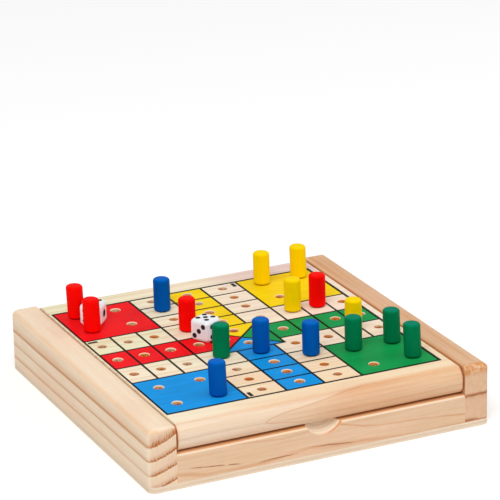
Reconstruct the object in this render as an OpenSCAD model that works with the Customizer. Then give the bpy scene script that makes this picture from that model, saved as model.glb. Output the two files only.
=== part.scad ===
// Travel ludo box: the pegged game board is the box's lid and swings on two hidden pins.
// Origin at the middle of the underside. X runs right, Y runs to the back, Z runs up.

/* [Box] */
// Width of the box over both side rails
box_w = 170; // [160:1:200]
// Depth of the box from its front face to its back face
box_d = 168; // [160:1:200]
// Height of the box from its underside to the top of the side rails
box_h = 30; // [27:0.5:40]
// Width of each side rail
rail_w = 13; // [11:0.5:15]
// Thickness of the plywood base
base_t = 3; // [2:0.5:4]
// Thickness of the low front and back rails, measured front to back
cross_rail_t = 10; // [9:0.5:14]
// Radius on the upright corners and on the outer top edges of the side rails
edge_r = 3.5; // [1.5:0.5:5]
// Radius on the top edges at the front and back ends of the side rails
rail_end_r = 3; // [1:0.5:4]
// Radius on the top edge that each side rail turns to the lid
rail_inner_r = 1; // [0.5:0.25:2]
// Radius on the outer top edge of the low rails
cross_rail_r = 1.2; // [0.5:0.1:2]
// Thickness of the felt on the floor of the box
felt_t = 1; // [0.6:0.2:2]
// Gap between the felt and the rails round it
felt_gap = 0.3; // [0.2:0.1:1]

/* [Thumb notch] */
// Width of the notch along the top edge of the front rail
notch_w = 17.5; // [14:0.5:18.5]
// Depth of the notch below the top of the front rail
notch_depth = 4.9; // [4.2:0.1:6]
// Distance of the cutter's centre in front of the front face
notch_out = 0.3; // [0.2:0.1:4]

/* [Lid] */
// Thickness of the board that forms the lid
lid_t = 13; // [11.5:0.5:14]
// Gap between the lid and each side rail
lid_side_gap = 1; // [0.5:0.1:1.5]
// Gap between the lid and the low rails under it
lid_under_gap = 0.5; // [0.4:0.1:1]
// Distance of the lid's front and back edges behind the faces of the box
lid_inset = 0.3; // [0.1:0.1:1]
// Radius of the lid's front edge at the top
lid_high_r = 6; // [3:0.5:6.5]
// Radius of the lid's front edge underneath
lid_low_r = 4.5; // [2:0.5:5]
// Radius along the side edges of the lid
lid_side_r = 0.8; // [0.4:0.1:1.5]

/* [Hinge] */
// Diameter of the steel hinge pins
pin_d = 3; // [2:0.5:4]
// Radial clearance of a pin in the lid
pin_clearance = 0.05; // [0.02:0.01:0.1]
// Length of a pin inside its side rail
pin_in_rail = 9; // [6:0.5:10]
// Length of a pin inside the lid
pin_in_lid = 14; // [8:1:20]
// Spare depth of the lid's bore past the end of a pin
pin_end_gap = 0.5; // [0.3:0.1:1]

/* [Playing field] */
// Side of a coloured corner field, three track cells long
corner_side = 39.8; // [39:0.1:41]
// Width of each of the three lanes in an arm of the cross
lane_w = 19; // [18:0.1:20]
// Shift of the printed field to the right of the lid's middle
print_shift_x = -1.8; // [-2:0.1:2]
// Shift of the printed field to the back of the lid's middle
print_shift_y = -1.6; // [-2:0.1:2]
// Shift of the drilled holes to the right of the printed field
drill_shift_x = 0.3; // [-1:0.1:1]
// Shift of the drilled holes to the back of the printed field
drill_shift_y = 0.8; // [-1:0.1:1]
// Distance that the holes of the left and right arms lie outside the middles of their cells
side_arm_out = 1.1; // [0:0.1:2]
// Distance that the holes of the front and back arms lie outside the middles of their cells
end_arm_out = 0.3; // [0:0.1:2]

/* [Peg holes] */
// Diameter of the peg holes
hole_d = 4.5; // [4:0.1:5]
// Depth of the peg holes
hole_depth = 7.5; // [7:0.5:8.5]
// Distance between the four holes of a corner field
corner_hole_pitch = 20.2; // [16:0.2:22]
// Distance along X or Y from the middle of the field to the middle of a group of four holes
corner_hole_centre = 49.2; // [46:0.1:50]
// Distance from the middle of the field to the hole in each centre triangle
triangle_hole_reach = 8.5; // [7:0.1:10]
// Radius of the eased mouth of a peg hole
hole_mouth = 0.3; // [0.1:0.1:0.5]

/* [Pegs] */
// Diameter of a peg's body
peg_d = 8.1; // [7:0.1:9]
// Height of a peg's body above the board
peg_h = 16.5; // [14:0.5:18]
// Length of the thin end that goes into a hole
peg_tenon = 6; // [5:0.5:6.5]
// Radial clearance of the thin end in a hole
peg_clearance = 0.1; // [0.05:0.05:0.2]
// Radius of the rounded top edge of a peg
peg_top_r = 1.3; // [0.5:0.1:2]
// Size of the bevel at the foot of a peg's body
peg_foot = 0.9; // [0.5:0.1:1.2]

/* [Dice] */
// Side of a die
die_side = 10.8; // [9:0.1:12]
// Radius of a die's edges
die_edge_r = 2; // [1.2:0.1:2.6]
// Radius of the ball that rounds a die's corners
die_ball_r = 7.75; // [7.7:0.05:8.4]
// Diameter of a pip
pip_d = 2.2; // [1.6:0.1:2.4]
// Diameter of the single pip on the face that counts one
one_pip_d = 3.4; // [2:0.1:4]
// Depth of a pip
pip_depth = 0.5; // [0.3:0.05:0.6]
// Distance of the outer pips from the middle of a face
pip_pitch = 2.5; // [2.4:0.05:2.6]

/* [Hidden] */
$fn = 48;
eps = 0.01;
big = 400;

// The levels and edges that the pieces share
lid_under_z = box_h - lid_t;
cross_rail_top = lid_under_z - lid_under_gap;
inner_w = box_w - 2 * rail_w;
inner_d = box_d - 2 * cross_rail_t;
rail_h = box_h - base_t;
lid_w = inner_w - 2 * lid_side_gap;
lid_d = box_d - 2 * lid_inset;
hinge_y = lid_d / 2 - lid_t / 2;
hinge_z = box_h - lid_t / 2;

// The ball that cuts the thumb notch meets the front face in a circle of this radius
notch_face_r = (notch_w * notch_w / 4 + notch_depth * notch_depth) / (2 * notch_depth);
notch_ball_r = sqrt(notch_face_r * notch_face_r + notch_out * notch_out);

// The ball that softens a rail's top corners, and how far from its centre it starts to cut
corner_ball_r = 1.06 * edge_r;
corner_ball_start = 0.1 * edge_r;

// The cross is three cells long in each arm and three lanes wide
cell = corner_side / 3;
field_side = 2 * corner_side + 3 * lane_w;
half = field_side / 2;
drill_x = print_shift_x + drill_shift_x;
drill_y = print_shift_y + drill_shift_y;

// Distances from the middle of the field to the cells of an arm, outermost first, then the fourth home cell
arm_reach = [for (i = [0:2]) half - (i + 0.5) * cell];
home_reach = half - 3.5 * cell;

// Quarters of the board, counted from the right arm and the back right corner
RIGHT = 0;
BACK = 1;
LEFT = 2;
FRONT = 3;

// Each hole is written for the right arm as reach and side step, and turned for the other arms
function arm_out(quarter) = quarter == RIGHT || quarter == LEFT ? side_arm_out : end_arm_out;
function track_holes(quarter) = [for (r = arm_reach, s = [-1, 0, 1]) [r + arm_out(quarter), s * lane_w]];
home_holes = [[home_reach, 0], [triangle_hole_reach, 0]];
corner_cell_hole = [[lane_w, lane_w]];
corner_field_holes = [for (a = [-0.5, 0.5], b = [-0.5, 0.5])
    [corner_hole_centre + a * corner_hole_pitch, corner_hole_centre + b * corner_hole_pitch]];
function quarter_holes(quarter) =
    concat(track_holes(quarter), home_holes, corner_cell_hole, corner_field_holes);

function turned(p, quarter) =
    quarter == 0 ? p :
    quarter == 1 ? [-p[1], p[0]] :
    quarter == 2 ? [-p[0], -p[1]] : [p[1], -p[0]];

function drilled(p, quarter) = let (q = turned(p, quarter)) [drill_x + q[0], drill_y + q[1]];

// A hole of a corner field, with near or far steps along and across the turned axes
function corner_hole(along, across, quarter) = drilled(
    [corner_hole_centre + along * corner_hole_pitch / 2,
     corner_hole_centre + across * corner_hole_pitch / 2], quarter);

// A hole of an arm, with 0 for its outermost cell, and -1, 0 or 1 for its lane
function arm_hole(index, lane, quarter) =
    drilled([arm_reach[index] + arm_out(quarter), lane * lane_w], quarter);

// Where the sixteen pegs stand in the game that is set out
red_places = [corner_hole(1, 1, BACK), corner_hole(-1, 1, BACK),
    drilled([lane_w, lane_w], BACK), arm_hole(1, 1, RIGHT)];
blue_places = [arm_hole(1, 1, BACK), corner_hole(-1, 1, LEFT),
    drilled([home_reach, 0], FRONT), arm_hole(2, 1, FRONT)];
yellow_places = [corner_hole(-1, 1, RIGHT), corner_hole(1, 1, RIGHT),
    arm_hole(2, 1, RIGHT), arm_hole(1, -1, RIGHT)];
green_places = [drilled([lane_w, lane_w], LEFT), corner_hole(-1, -1, FRONT),
    corner_hole(-1, 1, FRONT), corner_hole(1, 1, FRONT)];

// Dice as centre, turn, and the numbers on the top, left and front faces
die_1_place = [-17.4, 4.3];
die_1_turn = 29;
die_1_faces = [5, 3, 6];
die_2_place = [-56.2, 48];
die_2_turn = 51;
die_2_faces = [2, 4, 1];

// A rectangle whose four corners have their own radii, in the order of the quadrants
module soft_rect(x0, x1, y0, y1, radii) {
    corners = [[x1, y1, -1, -1], [x0, y1, 1, -1], [x0, y0, 1, 1], [x1, y0, -1, 1]];
    difference() {
        translate([x0, y0]) square([x1 - x0, y1 - y0]);
        for (i = [0:3]) corner_waste(corners[i], radii[i]);
    }
}

// What a round corner leaves outside it
module corner_waste(corner, r) {
    if (r > 0) difference() {
        translate([corner[0] - (corner[2] < 0 ? r : eps), corner[1] - (corner[3] < 0 ? r : eps)])
            square(r + eps);
        translate([corner[0] + corner[2] * r, corner[1] + corner[3] * r]) circle(r);
    }
}

// A shape drawn in X and Z, run along Y
module run_y(length) { rotate([90, 0, 0]) linear_extrude(length, center = true) children(); }

// A shape drawn in Y and Z, run along X
module run_x(length) { rotate([90, 0, 90]) linear_extrude(length, center = true) children(); }

module base_panel() {
    color("#e8dcc6") linear_extrude(base_t)
        soft_rect(-box_w / 2, box_w / 2, -box_d / 2, box_d / 2, [edge_r, edge_r, edge_r, edge_r]);
}

// The right rail, with the left one mirrored from it
module side_rail() {
    x1 = box_w / 2;
    x0 = x1 - rail_w;
    y1 = box_d / 2;
    difference() {
        intersection() {
            translate([0, 0, base_t]) linear_extrude(rail_h) soft_rect(x0, x1, -y1, y1, [edge_r, 0, 0, edge_r]);
            run_y(big) soft_rect(x0, x1, -big, box_h, [edge_r, rail_inner_r, 0, 0]);
            run_x(big) soft_rect(-y1, y1, -big, box_h, [rail_end_r, rail_end_r, 0, 0]);
        }
        translate([x0 - eps, hinge_y, hinge_z]) rotate([0, 90, 0])
            cylinder(d = pin_d, h = pin_in_rail + eps);
        for (end = [0, 1]) mirror([0, end, 0]) translate([x1 - edge_r, y1 - edge_r, box_h - edge_r])
            top_corner_waste();
    }
}

// What the ball leaves outside it at an outer top corner, seen from the ball's centre
module top_corner_waste() {
    difference() {
        translate([corner_ball_start, corner_ball_start, corner_ball_start]) cube(edge_r);
        sphere(corner_ball_r);
    }
}

module left_rail() { color("#e3c7a0") mirror([1, 0, 0]) side_rail(); }
module right_rail() { color("#e0bd98") side_rail(); }

// A low rail between the side rails, with its outer face turned to the back
module cross_rail() {
    y1 = box_d / 2;
    run_x(inner_w) soft_rect(y1 - cross_rail_t, y1, base_t, cross_rail_top, [cross_rail_r, 0, 0, 0]);
}

module front_rail() {
    color("#e6cda8") difference() {
        mirror([0, 1, 0]) cross_rail();
        translate([0, -box_d / 2 - notch_out, cross_rail_top - notch_depth + notch_face_r])
            sphere(notch_ball_r);
    }
}

module back_rail() { color("#e6cda8") cross_rail(); }

module felt_liner() {
    color("#1f6b3a") translate([0, 0, base_t + felt_t / 2])
        cube([inner_w - 2 * felt_gap, inner_d - 2 * felt_gap, felt_t], center = true);
}

// The drilled hole with its eased mouth, standing on the board's top
module peg_hole() {
    translate([0, 0, box_h - hole_depth]) cylinder(d = hole_d, h = hole_depth + eps);
    translate([0, 0, box_h - hole_mouth])
        cylinder(d1 = hole_d, d2 = hole_d + 2 * (hole_mouth + eps), h = hole_mouth + eps);
}

module lid_board() {
    y1 = lid_d / 2;
    x1 = lid_w / 2;
    color("#ead3ae") difference() {
        intersection() {
            run_x(lid_w) soft_rect(-y1, y1, lid_under_z, box_h, [lid_t / 2, lid_high_r, lid_low_r, lid_t / 2]);
            run_y(big) soft_rect(-x1, x1, lid_under_z, box_h, [lid_side_r, lid_side_r, lid_side_r, lid_side_r]);
        }
        for (quarter = [RIGHT:FRONT], p = quarter_holes(quarter))
            translate(drilled(p, quarter)) peg_hole();
        for (side = [-1, 1])
            translate([side * (x1 + eps), hinge_y, hinge_z]) rotate([0, -90 * side, 0])
                cylinder(r = pin_d / 2 + pin_clearance, h = pin_in_lid + pin_end_gap + eps);
    }
}

// A pin reaches from the bottom of its hole in the rail, across the gap, into the lid
module hinge_pin(side) {
    color("#b8bcc2") translate([side * (inner_w / 2 + pin_in_rail), hinge_y, hinge_z])
        rotate([0, -90 * side, 0]) cylinder(d = pin_d, h = pin_in_rail + lid_side_gap + pin_in_lid);
}

module hinge_pin_left() { hinge_pin(-1); }
module hinge_pin_right() { hinge_pin(1); }

// A turned peg: a thin end for the hole, a bevelled foot that rests on the board, and a rounded top
module peg(place) {
    r = peg_d / 2;
    tenon_r = hole_d / 2 - peg_clearance;
    tip = 0.5;
    translate([place[0], place[1], box_h]) rotate_extrude() difference() {
        polygon([[0, -peg_tenon], [tenon_r - tip, -peg_tenon], [tenon_r, tip - peg_tenon], [tenon_r, 0],
            [r - peg_foot, 0], [r, peg_foot], [r, peg_h], [0, peg_h]]);
        corner_waste([r, peg_h, -1, -1], peg_top_r);
    }
}

module red_peg(i) { color("#e0141c") peg(red_places[i]); }
module blue_peg(i) { color("#1250a8") peg(blue_places[i]); }
module yellow_peg(i) { color("#f2bd0c") peg(yellow_places[i]); }
module green_peg(i) { color("#0f7a3c") peg(green_places[i]); }

// Pip places on a face for each number, in steps of the pip pitch
pip_sets = [
    [[0, 0]],
    [[-1, 1], [1, -1]],
    [[-1, 1], [0, 0], [1, -1]],
    [[-1, -1], [1, -1], [-1, 1], [1, 1]],
    [[-1, -1], [1, -1], [0, 0], [-1, 1], [1, 1]],
    [[-1, -1], [0, -1], [1, -1], [-1, 1], [0, 1], [1, 1]]
];

// Shallow round pips sunk in the face that looks up, for a die centred on the origin
module pips(number) {
    r = (number == 1 ? one_pip_d : pip_d) / 2;
    ball_r = (r * r + pip_depth * pip_depth) / (2 * pip_depth);
    for (p = pip_sets[number - 1])
        translate([p[0] * pip_pitch, p[1] * pip_pitch, die_side / 2 - pip_depth + ball_r]) sphere(ball_r);
}

// A die with opposite faces adding up to seven
module die(place, turn, faces) {
    s = die_side / 2;
    translate([place[0], place[1], box_h + s]) rotate([0, 0, turn]) color("#f4f4f2") difference() {
        intersection() {
            linear_extrude(die_side, center = true) soft_rect(-s, s, -s, s, [for (i = [0:3]) die_edge_r]);
            run_x(die_side) soft_rect(-s, s, -s, s, [for (i = [0:3]) die_edge_r]);
            run_y(die_side) soft_rect(-s, s, -s, s, [for (i = [0:3]) die_edge_r]);
            sphere(die_ball_r);
        }
        pips(faces[0]);
        rotate([180, 0, 0]) pips(7 - faces[0]);
        rotate([0, -90, 0]) pips(faces[1]);
        rotate([0, 90, 0]) pips(7 - faces[1]);
        rotate([90, 0, 0]) pips(faces[2]);
        rotate([-90, 0, 0]) pips(7 - faces[2]);
    }
}

module die_1() { die(die_1_place, die_1_turn, die_1_faces); }
module die_2() { die(die_2_place, die_2_turn, die_2_faces); }

base_panel();
left_rail();
right_rail();
front_rail();
back_rail();
felt_liner();
lid_board();
hinge_pin_left();
hinge_pin_right();
red_peg(0);  // peg_red_1
red_peg(1);  // peg_red_2
red_peg(2);  // peg_red_3
red_peg(3);  // peg_red_4
blue_peg(0);  // peg_blue_1
blue_peg(1);  // peg_blue_2
blue_peg(2);  // peg_blue_3
blue_peg(3);  // peg_blue_4
yellow_peg(0);  // peg_yellow_1
yellow_peg(1);  // peg_yellow_2
yellow_peg(2);  // peg_yellow_3
yellow_peg(3);  // peg_yellow_4
green_peg(0);  // peg_green_1
green_peg(1);  // peg_green_2
green_peg(2);  // peg_green_3
green_peg(3);  // peg_green_4
die_1();
die_2();
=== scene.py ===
"""Travel ludo box: pine rails and a printed pine lid on a plywood base, with pegs, dice and a felt floor.

Lengths in the formulas are in millimetres, and MM turns them into metres. Colours are written as seen on a
screen.
"""
import math

import bmesh
import bpy
import numpy as np
from mathutils import Matrix, Vector


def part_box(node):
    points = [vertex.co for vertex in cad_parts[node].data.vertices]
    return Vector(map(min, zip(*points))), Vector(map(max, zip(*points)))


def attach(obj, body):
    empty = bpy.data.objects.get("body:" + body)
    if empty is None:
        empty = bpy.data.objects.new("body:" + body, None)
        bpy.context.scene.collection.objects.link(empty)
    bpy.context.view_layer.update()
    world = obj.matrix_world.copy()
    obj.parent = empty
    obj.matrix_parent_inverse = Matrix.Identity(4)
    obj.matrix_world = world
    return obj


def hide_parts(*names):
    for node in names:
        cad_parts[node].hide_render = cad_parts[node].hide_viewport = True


MM = 0.001

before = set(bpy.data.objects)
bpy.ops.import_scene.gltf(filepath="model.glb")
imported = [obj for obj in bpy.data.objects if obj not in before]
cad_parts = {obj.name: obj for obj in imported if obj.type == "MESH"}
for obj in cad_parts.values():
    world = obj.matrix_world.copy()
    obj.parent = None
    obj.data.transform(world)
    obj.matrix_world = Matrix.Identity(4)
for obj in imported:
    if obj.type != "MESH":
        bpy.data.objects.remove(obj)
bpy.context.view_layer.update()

# The box: half its width and depth, its top, the top of its low rails, and half the tray's width
HALF_W = 85.0
HALF_D = 84.0
BOX_TOP = 30.0
LOW_RAIL_TOP = 16.5
TRAY_X = 72.0


# A small language for material nodes

class Wire:
    """A value in a node tree, on which sums are written as on a number."""

    def __init__(self, tree, socket):
        self.tree = tree
        self.socket = socket

    def math(self, operation, *others):
        node = self.tree.nodes.new("ShaderNodeMath")
        node.operation = operation
        for slot, value in zip(node.inputs, (self,) + others):
            plug(self.tree, value, slot)
        return Wire(self.tree, node.outputs[0])

    def __add__(self, other):
        return self.math("ADD", other)

    def __sub__(self, other):
        return self.math("SUBTRACT", other)

    def __rsub__(self, other):
        return self * -1.0 + other

    def __mul__(self, other):
        return self.math("MULTIPLY", other)

    def __lt__(self, other):
        return self.math("LESS_THAN", other)

    def __gt__(self, other):
        return self.math("GREATER_THAN", other)

    def __abs__(self):
        return self.math("ABSOLUTE")

    def high(self, other):
        return self.math("MAXIMUM", other)

    def low(self, other):
        return self.math("MINIMUM", other)

    def near(self, value, reach):
        """1 where this lies within reach of the value, 0 elsewhere."""
        return abs(self - value) < reach

    def stroke(self, value, reach):
        """1 where this is the value, fading to 0 where it is off by reach."""
        return (abs(self - value) * (-1 / reach) + 1.0).high(0.0)

    def steps(self, start, end):
        """A smooth rise from 0 at start to 1 at end."""
        node = self.tree.nodes.new("ShaderNodeMapRange")
        node.interpolation_type = "SMOOTHSTEP"
        plug(self.tree, self, node.inputs["Value"])
        node.inputs["From Min"].default_value = start
        node.inputs["From Max"].default_value = end
        return Wire(self.tree, node.outputs["Result"])

    def curve(self, stops):
        """The value read off a line through (place, height) stops."""
        node = self.tree.nodes.new("ShaderNodeValToRGB")
        marks = node.color_ramp.elements
        while len(marks) < len(stops):
            marks.new(0.5)
        for mark, (place, height) in zip(marks, stops):
            mark.position = place
        for mark, (place, height) in zip(marks, stops):
            mark.color = (height, height, height, 1)
        plug(self.tree, self, node.inputs["Fac"])
        return Wire(self.tree, node.outputs["Color"])


def plug(tree, value, slot):
    """Joins a wire to a socket, or writes a plain number or colour into it."""
    if isinstance(value, Wire):
        tree.links.new(value.socket, slot)
    else:
        slot.default_value = value


def highest(wires):
    """The greatest of some wires."""
    best = wires[0]
    for wire in wires[1:]:
        best = best.high(wire)
    return best


def shade(red, green, blue):
    """A colour as seen on a screen, 0 to 255, turned into the linear one that a shader takes."""
    def linear(c):
        c /= 255
        return c / 12.92 if c <= 0.04045 else ((c + 0.055) / 1.055) ** 2.4
    return (linear(red), linear(green), linear(blue), 1.0)


class Finish:
    """A material with one shader, and short calls for the nodes that feed it."""

    def __init__(self, name, **constants):
        self.material = bpy.data.materials.new(name)
        self.material.use_nodes = True
        self.tree = self.material.node_tree
        self.shader = self.tree.nodes["Principled BSDF"]
        for socket, value in constants.items():
            self.shader.inputs[socket.replace("_", " ")].default_value = value
        self.coords = self.tree.nodes.new("ShaderNodeTexCoord")

    def node(self, kind, output, **inputs):
        made = self.tree.nodes.new(kind)
        for socket, value in inputs.items():
            plug(self.tree, value, made.inputs[socket.replace("_", " ")])
        return Wire(self.tree, made.outputs[output])

    def split(self, output):
        parts = self.tree.nodes.new("ShaderNodeSeparateXYZ")
        self.tree.links.new(self.coords.outputs[output], parts.inputs[0])
        return [Wire(self.tree, socket) for socket in parts.outputs]

    def place(self):
        """The point's place on the object, in millimetres."""
        return [axis * (1 / MM) for axis in self.split("Object")]

    def facing(self):
        """The way the surface faces, turned with the piece."""
        return self.split("Normal")

    def noise(self, x, y, z, detail=2.0, roughness=0.5):
        """Cloudy noise, 0 to 1 and mostly near 0.5, over a place whose unit is one cloud."""
        vector = self.node("ShaderNodeCombineXYZ", 0, X=x, Y=y, Z=z)
        return self.node("ShaderNodeTexNoise", 0, Vector=vector, Scale=1.0, Detail=detail,
                         Roughness=roughness)

    def blend(self, amount, first, second, way="MIX"):
        made = self.tree.nodes.new("ShaderNodeMix")
        made.data_type = "RGBA"
        made.blend_type = way
        plug(self.tree, amount, made.inputs[0])
        plug(self.tree, first, made.inputs[6])
        plug(self.tree, second, made.inputs[7])
        return Wire(self.tree, made.outputs[2])

    def times(self, first, second):
        """One colour times another."""
        return self.blend(1.0, first, second, "MULTIPLY")

    def stain(self, colour, amount, tone):
        """The colour, turned by an amount towards itself times a tone."""
        return self.blend(amount, colour, self.times(colour, tone))

    def grey(self, value):
        return self.node("ShaderNodeCombineColor", 0, Red=value, Green=value, Blue=value)

    def relief(self, height, depth):
        """Bump whose height of 1 stands this many millimetres proud."""
        made = self.tree.nodes.new("ShaderNodeBump")
        made.inputs["Distance"].default_value = depth * MM
        plug(self.tree, height, made.inputs["Height"])
        self.tree.links.new(made.outputs[0], self.shader.inputs["Normal"])

    def wear(self, **links):
        for socket, value in links.items():
            plug(self.tree, value, self.shader.inputs[socket.replace("_", " ")])


# Wood

RING = shade(198, 138, 82)
# The four pine materials, as pine() takes them
WOODS = {
    "pine_left": dict(grain="y", pith=(-95.0, 62.0), edge=42.9, spacing=6.5, warp=1.2, tilt=-0.011,
                      widen=1.9, late=1.4, pale=shade(250, 229, 202), ring=shade(206, 140, 78),
                      strength=0.72, end_strength=1.1, streaks=0.12, seed=1.3),
    "pine_right": dict(grain="y", pith=(78.0, -60.0), edge=76.1, spacing=12.4, warp=0.8, late=2.2,
                       pale=shade(233, 194, 159), strength=0.5, end_strength=1.25, end_late=5.0, blush=0.4,
                       streaks=0.7, seed=5.1),
    "pine_cross": dict(grain="x", pith=(-108.0, 9.0), edge=25.6, spacing=3.6, warp=5.0,
                       pale=shade(236, 203, 170), strength=0.3, seed=9.2),
    "pine_lid": dict(grain="x", pith=(-60.0, -20.0), edge=43.0, spacing=6.0, warp=5.0,
                     pale=shade(254, 242, 215), strength=0.22, end_strength=0.25, end_tone=0.2, blush=0.25,
                     seed=13.7)}
# How dark the wood is through one ring, from its inner edge to its outer one, on the face and on end grain
FACE_RING = [(0.0, 0.5), (0.03, 0.0), (0.5, 0.05), (0.8, 0.32), (0.93, 0.9), (0.97, 1.0), (1.0, 0.6)]
END_RING = [(0.0, 0.0), (0.35, 0.08), (0.66, 0.38), (0.88, 0.95), (0.97, 1.0), (1.0, 0.9)]

TONE = {
    # All pine: ring on end grain, pink clouds, brown streaks, sawn rays
    "end_ring": shade(184, 106, 50), "pink": shade(246, 206, 178), "streak": shade(244, 222, 200),
    "ray_dark": shade(222, 200, 184), "ray_pale": shade(250, 226, 204),
    # Painted shade of bare wood in a narrow gap, and a painted orange highlight line on a rounded edge
    "painted_gap_shade": shade(236, 182, 112), "painted_edge_highlight": shade(250, 214, 172),
    # The right rail's front end
    "mottle_pale": shade(240, 204, 164), "mottle_dark": shade(214, 140, 78), "lower": shade(240, 212, 184),
    "winter": shade(196, 150, 108),
    # The front rail
    "band": shade(226, 168, 112), "resin": shade(158, 98, 58), "oval_pale": shade(255, 242, 220),
    "oval_dark": shade(222, 164, 108), "notch_rim": shade(232, 158, 86), "painted_front_highlight": shade(255, 240, 214),
    "hidden": shade(246, 200, 124),
    # The lid
    "peach": shade(255, 236, 220), "cream": shade(243, 254, 240), "lilac": shade(240, 222, 250),
    "rose": shade(252, 230, 218), "front": shade(243, 231, 230), "heart": shade(240, 202, 156),
    "heart_rim": shade(224, 166, 112)}


def pine(name, grain, pith, edge, spacing, warp, pale, strength, seed, tilt=0.0, widen=1.0, late=1.0,
         ring=RING, end_strength=1.0, end_late=1.7, end_tone=0.4, blush=0.35, streaks=0.35):
    """Pine in the round: rings lie about a pith line along the grain, and it is returned with its colour.

    The ring number is the distance from the pith, bent by slow noise (warp), less that of one known ring
    edge, over the spacing. The pith line rises by tilt along the grain, and rings inside the known edge are
    wider by widen. Outwards through one ring the wood darkens slowly from pale to ring, then turns pale at
    once, and a higher value of late narrows the dark part. End grain shows darker rings with a comb of
    rays, and end_tone is how far the rays show. Fibres are noise drawn out along the grain. Blush is the
    amount of pink clouds, and streaks that of brown streaks.
    """
    made = Finish(name, Specular_IOR_Level=0.03)
    x, y, z = made.place()
    along, across = (x, y) if grain == "x" else (y, x)
    bend = made.noise(along * 0.012 + seed, across * 0.03, z * 0.03, 1.5) - 0.5
    side = across - pith[0]
    rise = z - pith[1] - along * tilt
    past = (side * side + rise * rise).math("SQRT") + bend * warp - edge
    past = past * (1 / spacing)
    number = past.high(past * (1 / widen))
    line = number.math("FRACT").math("POWER", late).curve(FACE_RING)
    comb = made.noise(across * 1.5 + seed, z * 0.22, along * 0.2, 3.0, 0.65)
    ragged = (number + (comb - 0.5) * (1.6 / spacing)).math("FRACT").math("POWER", end_late)
    arc = ragged.curve(END_RING)

    change = made.noise(number.math("FLOOR") * 3.7 + seed, along * 0.006, 0.5, 0.0)
    fibre = made.noise(along * 0.05 + seed, across * 2.0, z * 2.0, 3.0, 0.6)
    fine = made.noise(along * 0.25, across * 7.0 + seed, z * 7.0, 2.0, 0.6)
    cloud = made.noise(along * 0.02, across * 0.05 + seed, z * 0.08)
    band = made.noise(along * 0.012, across * 0.55 + seed, z * 0.55, 1.5)

    flesh = made.blend(cloud.steps(0.42, 0.68) * blush, pale, TONE["pink"])
    dark = line * (change * 1.2 + 0.4) * strength
    colour = made.blend(dark.low(1.0), flesh, ring)
    colour = made.times(colour, made.grey((fibre - 0.5) * 0.26 + (fine - 0.5) * 0.22 + 1.0))
    colour = made.stain(colour, (band - 0.42).high(0.0) * 4.0 * streaks, TONE["streak"])

    rays = comb.steps(0.3, 0.7)
    sawn = made.times(flesh, made.blend(rays, TONE["ray_dark"], TONE["ray_pale"]))
    sawn = made.blend(end_tone, flesh, sawn)
    burnt = arc * (rays * 0.6 + 0.6) * end_strength
    end = abs(made.facing()[0 if grain == "x" else 1]).steps(0.5, 0.9)
    colour = made.blend(end, colour, made.blend(burnt.low(1.0), sawn, TONE["end_ring"]))
    made.relief(fibre * 0.6 + fine * 0.4 - line * 0.5, 0.10)
    made.wear(Roughness=line * -0.08 + 0.55)
    return made, colour


def side_rail_marks(made, colour, far_end):
    """Painted shade on a side rail in the gap beside the lid, from the front to far_end, and a painted
    orange highlight line on its rounded outer top edges.
    """
    x, y, z = made.place()
    across, along, up = made.facing()
    # Painted shade: the inner face in the narrow gap beside the lid is darkened towards orange
    gap = abs(across).steps(0.5, 0.9) * (abs(x) < TRAY_X + 1.0) * (z > LOW_RAIL_TOP) * (z < BOX_TOP - 0.3)
    colour = made.stain(colour, gap * (y < far_end) * 0.6, TONE["painted_gap_shade"])
    # Painted highlight: an orange line on the rounded outer top edge, where it turns from top to side
    painted_edge_highlight = up.steps(0.25, 0.5) * (1.0 - up.steps(0.72, 0.95)) * (abs(x) > HALF_W - 5.0)
    return made.stain(colour, painted_edge_highlight * 0.35, TONE["painted_edge_highlight"])


def left_rail_marks(made, colour):
    """The left rail has painted gap shade only by its front end."""
    return side_rail_marks(made, colour, 6.0 - HALF_D)


def right_rail_marks(made, colour):
    """The right rail: painted gap shade all along, orange wood high on its front end, and two brown rings.
    """
    colour = side_rail_marks(made, colour, HALF_D)
    x, y, z = made.place()
    front = y * -1.0
    patch = made.noise(x * 0.5, y * 0.5, z * 0.35, 3.0, 0.7)
    near = (z + patch * 3.0 - 1.5).steps(25.2, 26.8) * front.steps(79.0, 81.5)
    mottled = made.blend(patch.steps(0.3, 0.62), TONE["mottle_pale"], TONE["mottle_dark"])
    end = front.steps(81.0, 83.4)
    lower = (1.0 - near) * end * patch.steps(0.2, 0.8)
    colour = made.blend(lower * 0.45, colour, TONE["lower"])
    winter = z.stroke(patch + 15.6, 1.1).high(z.stroke(4.0, 0.9) * (1.0 - x.steps(75.0, 80.0)))
    colour = made.stain(colour, winter * end * (patch * 0.6 + 0.6), TONE["winter"])
    return made.blend(near * 0.75, colour, mottled)


# Wavy bands on the front rail: height as a curve through (share of width, share of height), reach, strength
BANDS = [([(0.0, 0.23), (0.1, 0.14), (0.3, 0.14), (0.45, 0.22), (0.6, 0.17), (0.8, 0.1)], 1.3, 0.8),
         ([(0.0, 0.6), (0.2, 0.53), (0.36, 0.46), (0.46, 0.49), (0.5, 0.6)], 0.8, 0.6),
         ([(0.5, 0.6), (0.57, 0.48), (0.64, 0.39), (0.72, 0.35), (0.83, 0.32), (1.0, 0.25)], 0.7, 0.9)]
# Resin lines on it: slope, height at the middle, reach, and where along X each fades in and out
RESIN = [(-0.11, 1.6, 0.38, (-68.0, -60.0), (-46.0, -39.0)),
         (0.03, 5.6, 0.34, (-34.0, -28.0), (-18.0, -12.0)),
         (-0.08, 6.4, 0.34, (-9.0, -4.0), (10.0, 16.0))]
# Outwards through one oval in the notch
OVAL = [(0.0, 0.3), (0.1, 0.0), (0.6, 0.1), (0.9, 0.8), (1.0, 1.0)]
NOTCH_X = 8.9
RAIL_BACK = -73.0


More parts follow.
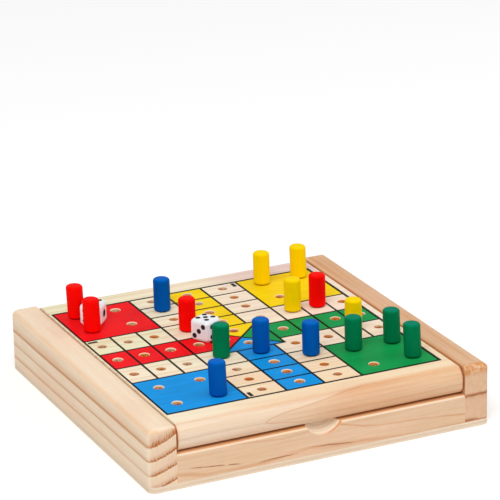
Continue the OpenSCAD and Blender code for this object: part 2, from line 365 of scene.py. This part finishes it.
def front_rail_marks(made, colour):
    """The front rail's own figure: soft wavy bands, thin broken resin lines, and ovals in the thumb notch,
    whose inside is painted paler as painted light against the shade that the lid casts into it.

    The notch's rim is darker, the rail's upper front edge carries a painted pale highlight, and its top has
    painted orange shade from the lid's front edge above it.
    """
    x, y, z = made.place()
    share = (x + TRAY_X) * (1 / (2 * TRAY_X))
    level = z + (made.noise(x * 0.09, z * 0.1, 3.0) - 0.5) * 1.2
    front = y < 1.0 - HALF_D
    band = highest([level.stroke(share.curve(stops) * BOX_TOP, reach) * strength
                    for stops, reach, strength in BANDS])
    fade = made.noise(x * 0.05, 8.0, 0.0, 1.0) * 0.9 + 0.4
    colour = made.stain(colour, (band * fade * front).low(1.0) * 0.6, TONE["band"])
    resin = highest([level.stroke(x * slope + middle, reach) * x.steps(*start) * (1.0 - x.steps(*end))
                     for slope, middle, reach, start, end in RESIN])
    broken = made.noise(x * 0.16, 0.0, z * 0.4).steps(0.3, 0.55)
    colour = made.blend((resin * broken * 1.4).low(0.75) * front, colour, TONE["resin"])

    behind = y < RAIL_BACK
    hollow = (abs(x) < NOTCH_X) * (z > 11.3) * (z < 16.42) * (y > -83.93) * behind
    oval = ((y + HALF_D) * 0.62).math("FRACT").curve(OVAL)
    # Painted light: the notch's inside is painted near the wood's palest against the lid's shade; the ovals
    # are rings cut through
    lit = made.blend(oval * 0.32, TONE["oval_pale"], TONE["oval_dark"])
    colour = made.blend(hollow * 0.85, colour, lit)
    rim = (1.0 - y.steps(-83.5, -82.4)) * hollow * (x * 0.13 + 0.55).high(0.15)
    colour = made.stain(colour, rim.low(1.0) * 0.8, TONE["notch_rim"])
    # Painted highlight: a pale line along the rounded upper front edge, outside the notch
    painted_front_highlight = made.facing()[2].steps(0.2, 0.5) * (1.0 - y.steps(-83.6, -83.1)) * (z > 15.2) * (abs(x) > 9.0)
    colour = made.blend(painted_front_highlight * 0.6, colour, TONE["painted_front_highlight"])
    # Painted shade: the top of the rail, under the lid's front edge, is darkened towards orange
    hidden = (z > 16.3) * y.steps(-83.5, -82.9) * behind
    return made.stain(colour, hidden * 0.55, TONE["hidden"])


def lid_tints(made, colour):
    """The lid's slow changes of tone: peach in front, cream back left, lilac back right, rose right."""
    x, y, z = made.place()
    drift = (made.noise(x * 0.03, y * 0.12, 5.0) - 0.5) * 40.0
    right = x + drift
    back = y + drift * 0.4
    up = made.facing()[2].steps(0.6, 0.95)
    peach = right.steps(-75.0, -10.0) * ((y + drift * 0.3) * -1.0).steps(22.0, 48.0)
    colour = made.stain(colour, peach * up * 0.72, TONE["peach"])
    cream = (right * -1.0).steps(18.0, 45.0) * back.steps(-22.0, 4.0)
    colour = made.stain(colour, cream * up * 0.8, TONE["cream"])
    lilac = right.steps(5.0, 40.0) * y.steps(34.0, 74.0)
    colour = made.stain(colour, lilac * up * 0.8, TONE["lilac"])
    rose = right.steps(-5.0, 30.0) * back.steps(-45.0, -20.0) * (1.0 - y.steps(62.0, 70.0))
    return made.blend(rose * up * 0.4, colour, TONE["rose"])


# Where the flame on the lid's front starts along X, and the height of its middle
FLAME_X = -29.0
FLAME_Z = 23.2


def lid_flame(made, colour):
    """The darker flame of heartwood on the lid's front: it opens from a point near the middle to the right.

    Its half height is a power of the distance right of the point, and its edge is a thin brown line. The
    lid's lower edge in front, its right side and the front of its left side get painted orange shade, as in
    a gap.
    """
    x, y, z = made.place()
    sway = made.noise(x * 0.03, 2.0, 0.0) - 0.5
    fibre = made.noise(x * 0.04, y * 1.4, z * 1.4, 3.0, 0.6)
    front = (y * -1.0).steps(77.0, 81.5)
    colour = made.stain(colour, front, TONE["front"])
    beyond = x - FLAME_X
    inside = beyond.high(0.0).math("POWER", 0.6) * 0.62 - abs(z - FLAME_Z + sway * 3.0)
    heart = inside.steps(-0.1, 0.9) * (beyond * 0.02 + 0.12).low(1.0) * (fibre * 0.6 + 0.7)
    colour = made.stain(colour, heart.low(1.0) * front * 0.55, TONE["heart"])
    rim = (abs(inside - 0.15) * -2.2 + 1.0).high(0.0) * front * (x > FLAME_X)
    colour = made.stain(colour, rim * 0.5, TONE["heart_rim"])
    # Painted shade: the lid's lower front edge and its sides beside the rails are darkened towards orange
    under = (z < 17.7) * (y * -1.0).steps(78.5, 81.5)
    beside = (abs(x) > 70.6) * (z < 29.4) * (x > 0.0).high(y < -80.0)
    return made.stain(colour, under.high(beside) * 0.7, TONE["painted_gap_shade"])


# The printed cross: its middle, its lowest level, half the field, the edges of the home lane and of the
# outer lanes, the reach of the triangles, the lines across between cells, and the width of a line
PRINT_X = -1.8
PRINT_Y = -1.6
PRINT_Z = 29.96
FIELD = 68.3
LANE_IN = 9.5
LANE_OUT = 28.5
TRIANGLE = 15.23
CELLS = (55.03, 41.77)
LINE = 0.62
# The start marks: distance out along the arm and sideways, and half the size of each
MARK_OUT = (64.6, 2.4)
MARK_SIDE = (26.1, 0.95)
INKS = {"red": shade(248, 10, 24), "blue": shade(0, 152, 234), "yellow": shade(255, 220, 4),
        "green": shade(0, 158, 80), "black": shade(6, 5, 6), "thin": shade(240, 205, 180)}
# Wood in the peg holes: the rim, the rim in some holes, and a darker orange-brown with depth, partly the
# bare drilled wood and partly painted shade
BORE_RIM = shade(246, 220, 184)
BORE_RICH = shade(252, 168, 86)
BORE_SHADE_DEEP = shade(196, 116, 56)


def printed_board(made, wood):
    """The ludo cross as screen print on bare wood, and the peg holes.

    With u and v the distances right and back of the middle, m the larger and n the smaller, the corner
    fields are where n passes the outer lane edge, and the home lanes and triangles are where n is inside
    the inner lane edge or m inside the triangles. Lines lie along fixed values of m or n, and along u = v
    in the triangles.
    """
    x, y, z = made.place()
    x = x - PRINT_X
    y = y - PRINT_Y
    u = abs(x)
    v = abs(y)
    m = u.high(v)
    n = u.low(v)
    inside = m < FIELD
    right = x > 0.0
    back = y > 0.0
    corner = (n > LANE_OUT) * inside
    home = (n < LANE_IN).high(m < TRIANGLE) * inside

    corner_ink = made.blend(back, made.blend(right, INKS["blue"], INKS["green"]),
                            made.blend(right, INKS["red"], INKS["yellow"]))
    home_ink = made.blend(u > v, made.blend(back, INKS["blue"], INKS["yellow"]),
                          made.blend(right, INKS["red"], INKS["green"]))
    ink = made.blend(corner, home_ink, corner_ink)
    flow = made.noise(x * 0.05, y * 0.5, 0.3, 3.0, 0.6)
    depth = made.noise(x * 0.04, y * 0.06, 7.0)
    ink = made.stain(ink, flow.steps(0.35, 0.75) * 0.30, INKS["thin"])
    ink = made.times(ink, made.grey((depth - 0.5) * 0.3 + 1.0))

    thick = (made.noise(x * 2.5, y * 2.5, 0.0) - 0.5) * 0.12 + LINE
    lines = [m.near(place, thick) * (n < LANE_OUT) for place in CELLS + (LANE_OUT,)]
    lines += [m.near(FIELD, thick * 1.25), n.near(LANE_OUT, thick) * inside,
              n.near(LANE_IN, thick) * (m > TRIANGLE) * inside, m.near(TRIANGLE, thick),
              (abs(u - v) < thick * 1.3) * (m < TRIANGLE)]
    for out, side in ((x * -1.0, y), (y * -1.0, x * -1.0), (x, y * -1.0), (y, x)):
        lines.append(out.near(*MARK_OUT) * side.near(*MARK_SIDE))
    black = highest(lines)

    top = (z > PRINT_Z) * (made.facing()[2] > 0.9)
    inked = corner.high(home)
    colour = made.blend(inked * top * 0.992, wood, ink)
    colour = made.blend(black * top * 0.96, colour, INKS["black"])
    bored = (z < 29.75) * (z > 20.0) * (m < FIELD - 1.0)
    kind = made.noise(x * 0.05, y * 0.05, 11.0, 1.0).steps(0.42, 0.6)
    mottle = made.noise(x * 0.8, y * 0.8, z * 1.2).steps(0.38, 0.62)
    wall = made.blend(kind, BORE_RIM, BORE_RICH)
    # Painted shade: the bore wall darkens towards orange-brown with depth below the print, partly bare
    # drilled wood
    wall = made.blend((z * -1.0 + PRINT_Z).steps(0.1, 1.5) * (mottle * 0.8 + 0.2), wall, BORE_SHADE_DEEP)
    made.wear(Roughness=inked.high(black) * top * -0.12 + 0.55)
    return made.blend(bored, colour, wall)


def wooden(name, *layers):
    """A pine material with further layers, each a function of the material and of the colour so far."""
    made, colour = pine(name, **WOODS[name])
    for layer in layers:
        colour = layer(made, colour)
    made.wear(Base_Color=colour)
    return made.material


def plywood():
    """Thin plywood: three plies by height, the middle one across, so its edge shows a darker stripe."""
    made = Finish("birch_plywood", Roughness=0.6, Specular_IOR_Level=0.1)
    x, y, z = made.place()
    fibre = made.noise(x * 0.06, y * 1.8, z * 4.0, 3.0, 0.6)
    pores = made.noise(x * 1.6, y * 1.6, z * 7.0, 3.0, 0.7)
    drift = made.noise(x * 0.05, y * 0.05, 4.0)
    edge = 1.0 - abs(made.facing()[2]).steps(0.3, 0.8)
    colour = made.blend(fibre.steps(0.3, 0.7), shade(246, 228, 206), shade(232, 208, 180))
    colour = made.blend(z.near(1.5, 0.55) * edge * (drift * 0.3 + 0.1), colour, shade(204, 172, 140))
    made.wear(Base_Color=made.times(colour, made.grey((pores - 0.5) * 0.3 + 1.0)))
    made.relief(fibre * 0.5 + pores * 0.5, 0.08)
    return made.material


# Paint, plastic, cloth and steel

# Each peg paint: colour of the sides and of the crown, the lighter crown being painted light from above,
# how far the tone varies, and seed
PAINT = {"red": (shade(254, 8, 4), shade(255, 14, 6), 0.6, 0.0),
         "blue": (shade(0, 86, 172), shade(0, 100, 194), 1.0, 4.0),
         "yellow": (shade(255, 214, 0), shade(255, 220, 0), 0.35, 8.0),
         "green": (shade(0, 118, 73), shade(0, 130, 98), 1.0, 12.0)}


def peg_paint(name, sides, crown, variation, seed):
    """Brushed satin paint on turned wood: patchy and ringed by turning marks, with painted light on the
    crown and a painted contact shadow darkening the foot.
    """
    made = Finish(name, Specular_IOR_Level=0.02)
    x, y, z = made.place()
    patch = made.noise(x * 0.25 + seed, y * 0.25, z * 0.12)
    grain = made.noise(x * 2.2, y * 2.2 + seed, z * 0.12, 3.0, 0.6)
    marks = made.noise(0.0, seed, z * 5.0, 1.0)
    tone = ((patch - 0.5) * 0.24 + (grain - 0.5) * 0.36) * variation + 1.0
    # Painted shadow: the paint darkens to half just above the board, where the peg meets it; the tenon
    # stays bright
    foot = (z.steps(BOX_TOP + 0.2, BOX_TOP + 1.5) * 0.5 + 0.5).high((z < BOX_TOP - 0.05) * 0.9)
    # Painted light: the crown, facing up, takes a lighter colour than the sides
    paint_and_crown_light = made.blend(made.facing()[2].steps(0.6, 0.95), sides, crown)
    made.wear(Base_Color=made.times(paint_and_crown_light, made.grey(tone * foot)), Roughness=patch * 0.12 + 0.32)
    made.relief(grain * 0.6 + marks * 0.4, 0.08)
    return made.material


# Where the value that the die's mesh carries turns from white to black
PIP_EDGE = (-0.07, -0.03)


def die_plastic():
    """Glossy white plastic, with black paint where the mesh says that a point lies inside a pip."""
    made = Finish("die_plastic")
    mark = made.tree.nodes.new("ShaderNodeAttribute")
    mark.attribute_name = "pip"
    pip = Wire(made.tree, mark.outputs["Fac"]).steps(*PIP_EDGE)
    x, y, z = made.place()
    haze = made.noise(x * 0.3, y * 0.3, z * 0.3)
    white = made.blend(haze, shade(240, 243, 248), shade(248, 249, 251))
    made.wear(Base_Color=made.blend(pip, white, shade(8, 8, 9)), Roughness=pip * 0.5 + haze * 0.08 + 0.16)
    return made.material


def felt_cloth():
    """Green felt: short matted fibres as fine noise, with soft lighter clouds and a sheen."""
    made = Finish("green_felt", Roughness=0.95, Specular_IOR_Level=0.15, Sheen_Weight=0.35,
                  Sheen_Roughness=0.5)
    x, y, z = made.place()
    fuzz = made.noise(x * 2.5, y * 2.5, z * 2.5, 5.0, 0.7)
    hair = made.noise(x * 0.9, y * 4.0, z, 4.0, 0.7)
    matted = made.noise(x * 0.5, y * 0.5, 2.0, 4.0, 0.65)
    cloud = made.noise(x * 0.04, y * 0.04, 0.0)
    tone = made.blend((fuzz * 0.5 + matted * 0.5).steps(0.35, 0.65), shade(12, 72, 40), shade(48, 132, 80))
    made.wear(Base_Color=made.blend(cloud * 0.3, tone, shade(30, 108, 62)))
    made.relief(fuzz * 0.6 + hair * 0.4, 0.5)
    return made.material


def pin_steel():
    """Drawn steel wire: fine lines along X."""
    made = Finish("pin_steel", Metallic=1.0)
    x, y, z = made.place()
    lines = made.noise(x * 0.2, y * 8.0, z * 8.0, 3.0)
    made.wear(Base_Color=made.blend(lines, shade(176, 178, 182), shade(206, 208, 212)),
              Roughness=lines * 0.2 + 0.25)
    made.relief(lines, 0.02)
    return made.material


# Meshes

SHARP_FROM = math.radians(35)


def piece(name, points, faces, material, body, slot):
    """A closed mesh whose place is in its points, given in millimetres."""
    mesh = bpy.data.meshes.new(name)
    mesh.from_pydata((np.asarray(points) * MM).tolist(), [], faces)
    mesh.polygons.foreach_set("use_smooth", np.ones(len(mesh.polygons), bool))
    mesh.set_sharp_from_angle(angle=SHARP_FROM)
    mesh.materials.append(material)
    made = bpy.data.objects.new(name, mesh)
    bpy.context.scene.collection.objects.link(made)
    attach(made, body)
    return made


def grid_faces(rows, columns, closed=False, first=0):
    """Quads over a grid of points stored row by row, joined round the columns if closed."""
    i = np.arange(rows - 1)[:, None]
    j = np.arange(columns if closed else columns - 1)[None, :]
    k = (j + 1) % columns
    quads = np.stack([i * columns + j, i * columns + k, (i + 1) * columns + k, (i + 1) * columns + j], -1)
    return (quads.reshape(-1, 4) + first).tolist()


def node_middle(node):
    """Middle of a CAD node in X and Y, and its lowest and highest level."""
    low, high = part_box(node)
    return np.array([(low.x + high.x) / 2, (low.y + high.y) / 2]) / MM, low.z / MM, high.z / MM


# A peg: radius, height over the board, radius of its upper edge, rise of its crown, and points round it
PEG_R = 4.05
PEG_H = 16.5
PEG_ROUND = 1.2
PEG_CROWN = 0.08
PEG_SIDES = 72
# Radius and height of points on the tenon and on the foot
TENON = [[0.4, -6.0], [1.65, -6.0], [2.15, -5.5], [2.15, -3.0], [2.15, 0.0]]
FOOT = [[2.6, 0.0], [3.1, 0.0], [3.2, 0.05], [3.6, 0.48], [3.95, 0.82], [4.03, 0.95]]
# How much the slow waves draw the outline in
PEG_WAVE = 0.0025
# Degrees that a loose peg leans in its hole, all to the same side, and that any other peg does
LEANS = {"peg_red_1": 2.0, "peg_red_2": 1.6, "peg_blue_2": 2.0, "peg_yellow_2": 1.8, "peg_green_3": 1.8,
         "peg_green_4": 2.2}
SMALL_LEAN = 0.7
LEAN_WAY = np.array([-0.9, 0.43])


def peg_profile():
    """The outline of a peg as radius and height over the board, from the tip of its tenon to its crown.

    The upper edge is a quarter circle, and the crown above it a shallow parabola.
    """
    flat = PEG_R - PEG_ROUND
    shoulder = PEG_H - PEG_CROWN - PEG_ROUND
    turn = np.linspace(0, math.pi / 2, 9)
    rounded = np.stack([flat + PEG_ROUND * np.cos(turn), shoulder + PEG_ROUND * np.sin(turn)], -1)
    crown = np.linspace(flat, 0.25, 6)[1:]
    crown = np.stack([crown, PEG_H - PEG_CROWN * (crown / flat) ** 2], -1)
    body = np.stack([np.full(12, PEG_R), np.linspace(1.2, shoulder - 0.3, 12)], -1)
    return np.concatenate([TENON, FOOT, body, rounded, crown])


def make_peg(node, colour, seed):
    """A turned peg: its outline goes round the node's axis, drawn in by slow waves of turn and height.

    radius = outline * (1 - a (1 + sin(2 turn + p)) - a (1 + sin(3 turn + q + height / 4))), for a small a.
    Above the board each ring is moved sideways by tan(lean) times its height.
    """
    centre, low, high = node_middle(node)
    p, q = np.random.default_rng(seed).uniform(0, 2 * math.pi, 2)
    outline = peg_profile()
    turn = np.linspace(0, 2 * math.pi, PEG_SIDES, endpoint=False)
    radius = outline[:, :1]
    height = outline[:, 1:]
    wave = PEG_WAVE * (1 + np.sin(2 * turn + p)) + PEG_WAVE * (1 + np.sin(3 * turn + q + height / 4))
    radius = radius * (1 - wave * (height > 0.0))
    level = high - PEG_H + height
    lean = math.tan(math.radians(LEANS.get(node, SMALL_LEAN))) * np.clip(height, 0, None)
    ring = np.stack([centre[0] + lean * LEAN_WAY[0] + radius * np.cos(turn),
                     centre[1] + lean * LEAN_WAY[1] + radius * np.sin(turn),
                     np.broadcast_to(level, radius.shape)], -1)
    tip = [*centre, level[0, 0]]
    peak = [*(centre + lean[-1, 0] * LEAN_WAY), high]
    points = np.concatenate([ring.reshape(-1, 3), [tip, peak]])
    rows = len(outline)
    faces = grid_faces(rows, PEG_SIDES, closed=True)
    j = np.arange(PEG_SIDES)
    k = (j + 1) % PEG_SIDES
    last = (rows - 1) * PEG_SIDES
    under = rows * PEG_SIDES
    faces += np.stack([k, j, np.full(PEG_SIDES, under)], -1).tolist()
    faces += np.stack([last + j, last + k, np.full(PEG_SIDES, under + 1)], -1).tolist()
    made = piece(node + "_turned", points, faces, paints[colour], node, "peg_" + colour)
    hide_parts(node)


# A die: half its side, radius of its edges, of the ball that rounds its corners, and points along a side
DIE_HALF = 5.4
DIE_ROUND = 2.0
DIE_BALL = 7.75
DIE_STEPS = 65
# Pips: radius, that of a single one, depth, and the distance between rows
PIP_R = 1.1
ONE_PIP_R = 1.7
PIP_DEEP = 0.5
PIP_STEP = 2.5
# How far paint goes past a pip's edge, as a share of its radius, except on the six, whose pips are close
PIP_SPREAD = 0.08
PIPS = {1: [(0, 0)], 2: [(-1, 1), (1, -1)], 3: [(-1, 1), (0, 0), (1, -1)],
        4: [(-1, -1), (1, -1), (-1, 1), (1, 1)], 5: [(-1, -1), (1, -1), (0, 0), (-1, 1), (1, 1)],
        6: [(-1, -1), (0, -1), (1, -1), (-1, 1), (0, 1), (1, 1)]}


def die_face(number):
    """One face that looks up, as a grid, with a value that is over 0 where paint goes.

    The flat grid point is pulled to the nearest point of a smaller cube and pushed out from it by the edge
    radius, then held inside the ball that rounds the corners. A pip lowers it by
    depth * (1 - (distance / radius)^2).
    """
    line = np.linspace(-DIE_HALF, DIE_HALF, DIE_STEPS)
    a, b = np.meshgrid(line, line, indexing="ij")
    flat = np.stack([a, b, np.full_like(a, DIE_HALF)], -1)
    core = np.clip(flat, DIE_ROUND - DIE_HALF, DIE_HALF - DIE_ROUND)
    out = flat - core
    point = core + out / np.linalg.norm(out, axis=-1, keepdims=True) * DIE_ROUND
    far = np.linalg.norm(point, axis=-1, keepdims=True)
    point *= np.minimum(1, DIE_BALL / far)
    away = np.min([np.hypot(point[..., 0] - px * PIP_STEP, point[..., 1] - py * PIP_STEP)
                   for px, py in PIPS[number]], axis=0) / (ONE_PIP_R if number == 1 else PIP_R)
    point[..., 2] -= PIP_DEEP * np.clip(1 - away ** 2, 0, 1)
    paint = 1 - away + (0.0 if number == 6 else PIP_SPREAD)
    return point.reshape(-1, 3), paint.reshape(-1)


def make_die(node, turn, top, left, front):
    """Six face grids turned to their sides as part.scad turns them, then merged along the edges."""
    centre, low, high = node_middle(node)
    quarter = math.pi / 2
    sides = [(top, (0, 0)), (7 - top, (2 * quarter, 0)), (left, (0, -quarter)), (7 - left, (0, quarter)),
             (front, (quarter, 0)), (7 - front, (-quarter, 0))]
    points = []
    marks = []
    faces = []
    for number, (about_x, about_y) in sides:
        face, mark = die_face(number)
        spin = Matrix.Rotation(about_y, 3, "Y") @ Matrix.Rotation(about_x, 3, "X")
        faces += grid_faces(DIE_STEPS, DIE_STEPS, first=sum(map(len, points)))
        points.append(face @ np.array(spin).T)
        marks.append(mark)
    points = np.concatenate(points) @ np.array(Matrix.Rotation(math.radians(turn), 3, "Z")).T
    points += [*centre, (low + high) / 2]
    made = piece(node + "_moulded", points, faces, plastic, node, "die_white")
    made.data.attributes.new("pip", "FLOAT", "POINT").data.foreach_set("value", np.concatenate(marks))
    join_seams(made.data)
    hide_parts(node)


def join_seams(mesh):
    """Merges points that lie together and turns all faces outwards."""
    work = bmesh.new()
    work.from_mesh(mesh)
    bmesh.ops.remove_doubles(work, verts=work.verts, dist=1e-6)
    bmesh.ops.recalc_face_normals(work, faces=work.faces)
    work.to_mesh(mesh)
    work.free()


# Points along the felt's side, how deep its waves and its fibres are, and the waves' lengths over 2 pi
FELT_STEPS = 150
FELT_DEEP = 0.06
FELT_WAVES = (19, 23)


def make_felt():
    """The felt floor: a slab whose upper face is a grid that sinks by slow waves and by short fibres.

    height = top - deep (1 + sin(x / 19) sin(y / 23)) - deep * seeded fibre noise, from 0 to 1.
    """
    low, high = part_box("felt_liner")
    x0, y0, z0 = np.array(low) / MM
    x1, y1, z1 = np.array(high) / MM
    x, y = np.meshgrid(np.linspace(x0, x1, FELT_STEPS), np.linspace(y0, y1, FELT_STEPS), indexing="xy")
    fibre = np.random.default_rng(7).random(x.shape)
    wave = 1 + np.sin(x / FELT_WAVES[0]) * np.sin(y / FELT_WAVES[1])
    top = z1 - FELT_DEEP * wave - FELT_DEEP * fibre
    upper = np.stack([x, y, top], -1).reshape(-1, 3)
    lower = np.stack([x, y, np.full_like(x, z0)], -1).reshape(-1, 3)
    count = len(upper)
    faces = grid_faces(FELT_STEPS, FELT_STEPS)
    faces += [face[::-1] for face in grid_faces(FELT_STEPS, FELT_STEPS, first=count)]
    index = np.arange(count).reshape(FELT_STEPS, FELT_STEPS)
    rim = np.concatenate([index[0, :-1], index[:-1, -1], index[-1, :0:-1], index[:0:-1, 0]])
    after = np.roll(rim, -1)
    faces += np.stack([rim + count, after + count, after, rim], -1).tolist()
    made = piece("felt_floor", np.concatenate([upper, lower]), faces, felt_cloth(), "box", "felt")
    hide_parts("felt_liner")


# The object

low_rails = wooden("pine_cross", front_rail_marks)
steel = pin_steel()
coats = {"base_panel": plywood(),
         "left_rail": wooden("pine_left", left_rail_marks),
         "right_rail": wooden("pine_right", right_rail_marks),
         "front_rail": low_rails, "back_rail": low_rails,
         "lid_board": wooden("pine_lid", lid_tints, lid_flame, printed_board),
         "hinge_pin_left": steel, "hinge_pin_right": steel}
for node, material in coats.items():
    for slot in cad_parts[node].material_slots:
        slot.material = material

paints = {colour: peg_paint("peg_paint_" + colour, *values) for colour, values in PAINT.items()}
for step, colour in enumerate(PAINT):
    for number in range(1, 5):
        make_peg("peg_%s_%d" % (colour, number), colour, 10 * step + number)

plastic = die_plastic()
make_die("die_1", turn=29, top=5, left=3, front=6)
make_die("die_2", turn=51, top=2, left=4, front=1)
make_felt()


# Floor, light and camera

FLOOR_REACH = 6.0
FLOOR_GREY = (0.8, 0.8, 0.8, 1)
FLOOR_GLOW = 0.32
ROOM_LIGHT = 0.55
BACKDROP_GLOW = 0.45


def seen_by(tree, *rays):
    """1 for rays of these kinds, 0 for others."""
    path = tree.nodes.new("ShaderNodeLightPath")
    return highest([Wire(tree, path.outputs["Is %s Ray" % ray]) for ray in rays])


def floor_paper():
    """A floor that reflects plain light, with a glow that only the camera and reflections see."""
    material = bpy.data.materials.new("floor_paper")
    material.use_nodes = True
    tree = material.node_tree
    tree.nodes.clear()
    matt = tree.nodes.new("ShaderNodeBsdfDiffuse")
    matt.inputs["Color"].default_value = FLOOR_GREY
    glow = tree.nodes.new("ShaderNodeEmission")
    plug(tree, seen_by(tree, "Camera", "Glossy", "Transmission") * FLOOR_GLOW, glow.inputs["Strength"])
    both = tree.nodes.new("ShaderNodeAddShader")
    tree.links.new(matt.outputs[0], both.inputs[0])
    tree.links.new(glow.outputs[0], both.inputs[1])
    output = tree.nodes.new("ShaderNodeOutputMaterial")
    tree.links.new(both.outputs[0], output.inputs["Surface"])
    return material


floor_mesh = bpy.data.meshes.new("floor")
corners = [(x * FLOOR_REACH, y * FLOOR_REACH, 0) for x, y in ((-1, -1), (1, -1), (1, 1), (-1, 1))]
floor_mesh.from_pydata(corners, [], [(0, 1, 2, 3)])
floor_mesh.materials.append(floor_paper())
floor = bpy.data.objects.new("floor", floor_mesh)
bpy.context.scene.collection.objects.link(floor)

world = bpy.data.worlds.new("studio")
bpy.context.scene.world = world
world.use_nodes = True
sky = world.node_tree.nodes["Background"]
sky.inputs["Color"].default_value = (1, 1, 1, 1)
seen = seen_by(world.node_tree, "Camera", "Transmission")
plug(world.node_tree, seen * BACKDROP_GLOW + ROOM_LIGHT, sky.inputs["Strength"])

LIGHT_AIM = Vector((0, 0, 0.02))


def softbox(name, place, size, power):
    """A square area light that looks at the board's middle."""
    lamp = bpy.data.lights.new(name, "AREA")
    lamp.shape = "SQUARE"
    lamp.size = size
    lamp.energy = power
    made = bpy.data.objects.new(name, lamp)
    bpy.context.scene.collection.objects.link(made)
    way = (Vector(place) - LIGHT_AIM).normalized()
    made.matrix_world = Matrix.Translation(place) @ way.to_track_quat("Z", "Y").to_matrix().to_4x4()


softbox("key_light", (-0.7, -0.9, 1.5), 1.0, 16.0)
softbox("fill_light", (1.2, -0.6, 0.9), 1.2, 5.0)

# The camera as solved from the photo: rows of its rotation, place in metres, sensor and lens in millimetres
CAMERA_ROWS = ((0.90358423, 0.16069721, -0.39712962), (-0.42803441, 0.29980599, -0.85258601),
               (-0.01794635, 0.94036842, 0.3396839))
CAMERA_PLACE = (-0.52453, -1.13522, 0.52411)
SENSOR_WIDTH = 36.0
LENS = 206.04

camera = bpy.data.cameras.new("photo_camera")
camera.sensor_fit = "HORIZONTAL"
camera.sensor_width = SENSOR_WIDTH
camera.lens = LENS
camera.clip_start = 0.05
camera.clip_end = 30.0
camera_object = bpy.data.objects.new("photo_camera", camera)
bpy.context.scene.collection.objects.link(camera_object)
camera_object.matrix_world = Matrix([[*row, place] for row, place in zip(CAMERA_ROWS, CAMERA_PLACE)]
                                    + [[0, 0, 0, 1]])
bpy.context.scene.camera = camera_object
bpy.context.scene.view_settings.view_transform = "Standard"
